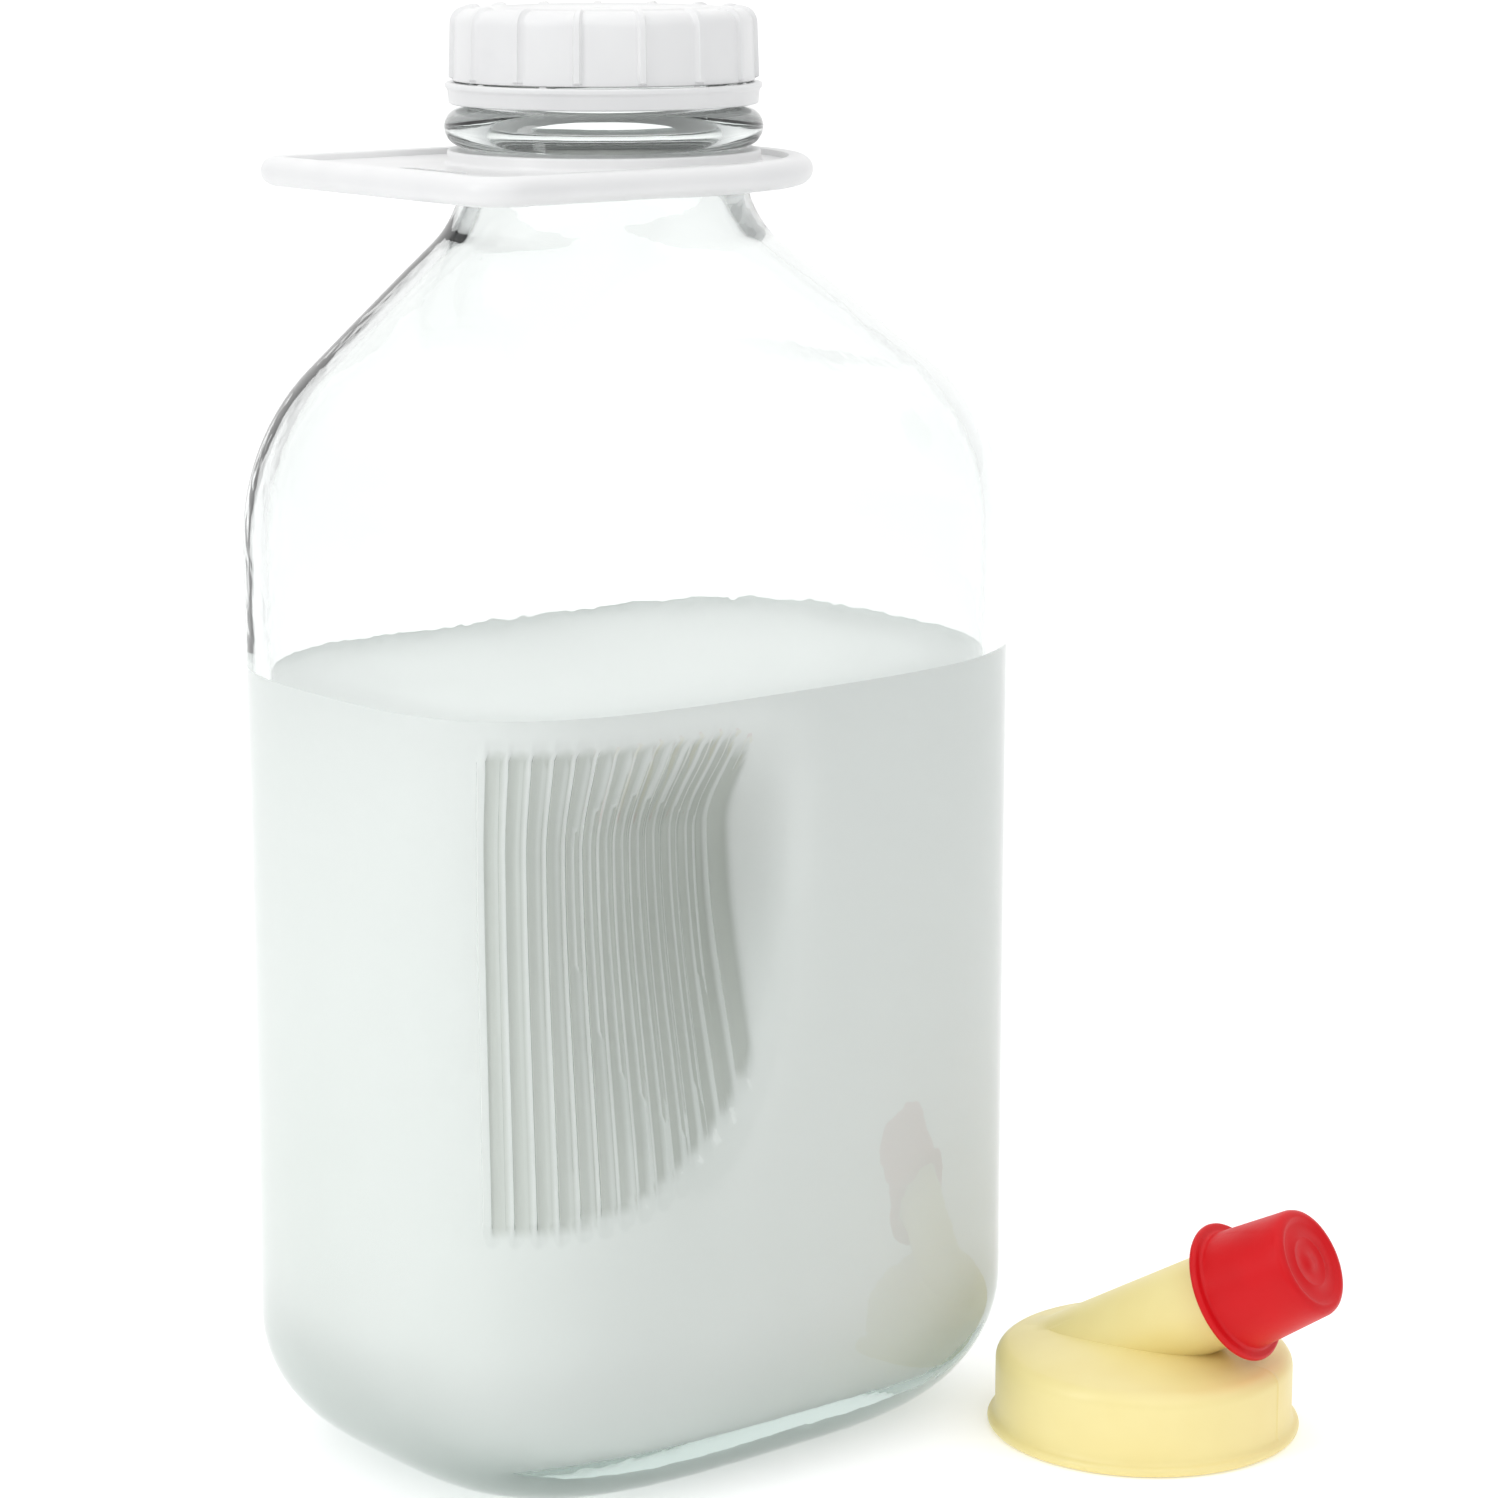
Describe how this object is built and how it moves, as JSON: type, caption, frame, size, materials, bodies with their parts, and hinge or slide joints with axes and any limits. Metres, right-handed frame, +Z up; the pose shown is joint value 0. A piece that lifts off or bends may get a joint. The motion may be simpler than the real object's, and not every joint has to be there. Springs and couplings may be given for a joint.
{
  "type": "glass milk bottle",
  "caption": "Glass milk bottle with a ribbed hand grip, screw cap, tamper band, carrying plate and a separate soft pourer with its own cap.",
  "frame": {"origin": "centre of the whole set's footprint, on the surface that the bottle and the pourer stand on", "axes": "+Z up along the neck; the bottle's long sides face -Y and +Y; the carrying plate points to -X; the pourer stands towards -Y"},
  "size_m": [0.1632, 0.1492, 0.2572],
  "materials": {
    "glass": "clear moulded glass, faint green in the thick base",
    "milk": "opaque white milk",
    "white_plastic": "satin white moulded polyethylene",
    "liner_foam": "matt foam sealing disc",
    "yellow_vinyl": "satin soft vinyl, pale butter yellow",
    "red_vinyl": "satin soft vinyl, strong red"
  },
  "bodies": {
    "bottle": {"glass_bottle": "glass", "milk": "milk"},
    "seal": {"cap_liner": "liner_foam"},
    "cap": {"cap_shell": "white_plastic"},
    "band": {"tamper_band": "white_plastic"},
    "handle": {"carry_handle": "white_plastic"},
    "pourer": {"pour_spout": "yellow_vinyl"},
    "spout_plug": {"spout_cap": "red_vinyl"}
  },
  "joints": [
    {"name": "cap_lift", "type": "slide", "parent": "bottle", "child": "seal", "axis": [0, 0, 1], "range_m": [0, 0.015]},
    {"name": "cap_turn", "type": "hinge", "parent": "seal", "child": "cap", "pos_m": [-0.02055, 0.0266, 0.25], "axis": [0, 0, 1], "range_deg": [0, 450.1]},
    {"name": "band_turn", "type": "hinge", "parent": "bottle", "child": "band", "pos_m": [-0.02055, 0.0266, 0.242], "axis": [0, 0, 1], "continuous": true},
    {"name": "handle_swivel", "type": "hinge", "parent": "bottle", "child": "handle", "pos_m": [-0.02055, 0.0266, 0.229], "axis": [0, 0, 1], "continuous": true},
    {"name": "pourer_lift", "type": "slide", "parent": "bottle", "child": "pourer", "axis": [0, 0, 1], "range_m": [0, 0.05]},
    {"name": "spout_cap_pull", "type": "slide", "parent": "pourer", "child": "spout_plug", "axis": [0.2705, -0.8227, 0.5], "range_m": [0, 0.03]}
  ],
  "couplings": [
    {"joint": "cap_turn", "follows": "cap_lift", "rad_per_m": 523.6}
  ]
}
